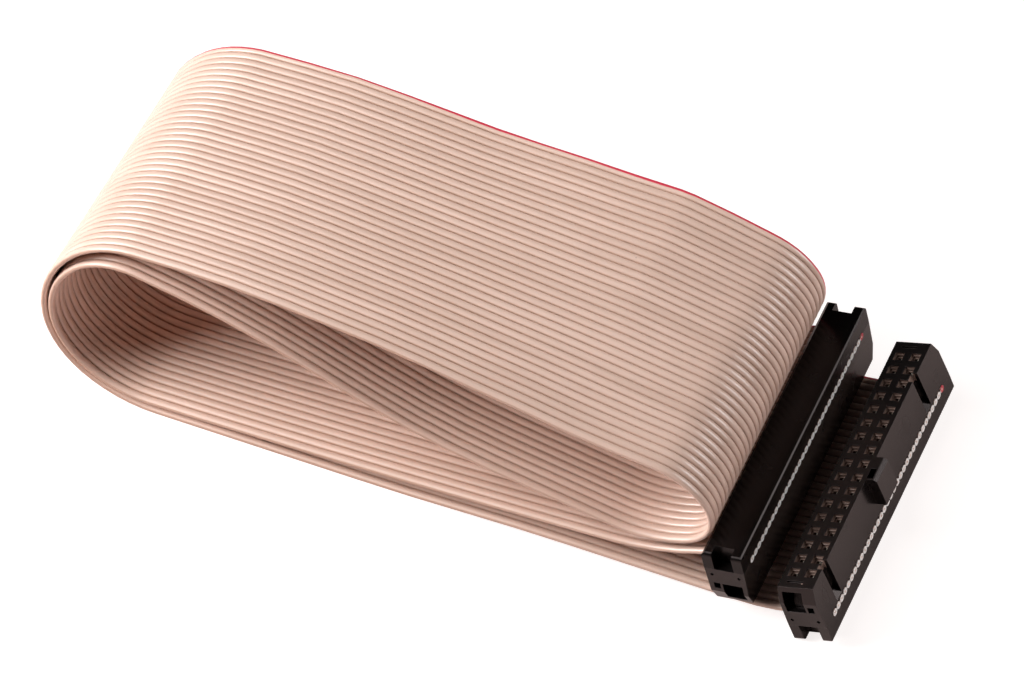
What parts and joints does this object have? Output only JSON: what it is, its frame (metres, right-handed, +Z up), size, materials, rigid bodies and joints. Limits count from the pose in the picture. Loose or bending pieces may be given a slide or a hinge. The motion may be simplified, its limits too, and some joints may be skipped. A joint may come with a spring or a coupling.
{
  "type": "ribbon cable",
  "caption": "Flat grey ribbon cable folded back over itself, with a long black insulation displacement socket on each end.",
  "frame": {"origin": "centre of the bounding box at table height", "axes": "+X along the ribbon towards the sockets, +Y across the ribbon towards conductor 1, +Z up as it lies"},
  "size_m": [0.1193, 0.0478, 0.0338],
  "materials": {
    "grey_pvc": "satin warm grey PVC, with a red stripe on the edge of conductor 1",
    "black_plastic": "satin moulded black, glass filled",
    "contact_metal": "tinned spring bronze",
    "copper": "bare copper"
  },
  "bodies": {
    "root": {"ribbon_jacket": "grey_pvc", "conductor_01": "copper", "conductor_02": "copper", "conductor_03": "copper", "conductor_04": "copper", "conductor_05": "copper", "conductor_06": "copper", "conductor_07": "copper", "conductor_08": "copper", "conductor_09": "copper", "conductor_10": "copper", "conductor_11": "copper", "conductor_12": "copper", "conductor_13": "copper", "conductor_14": "copper", "conductor_15": "copper", "conductor_16": "copper", "conductor_17": "copper", "conductor_18": "copper", "conductor_19": "copper", "conductor_20": "copper", "conductor_21": "copper", "conductor_22": "copper", "conductor_23": "copper", "conductor_24": "copper", "conductor_25": "copper", "conductor_26": "copper", "conductor_27": "copper", "conductor_28": "copper", "conductor_29": "copper", "conductor_30": "copper", "conductor_31": "copper", "conductor_32": "copper", "conductor_33": "copper", "conductor_34": "copper", "connector_a_body": "black_plastic", "connector_a_cover": "black_plastic", "connector_a_contacts_odd": "contact_metal", "connector_a_contacts_even": "contact_metal", "connector_b_body": "black_plastic", "connector_b_cover": "black_plastic", "connector_b_contacts_odd": "contact_metal", "connector_b_contacts_even": "contact_metal"}
  },
  "joints": []
}
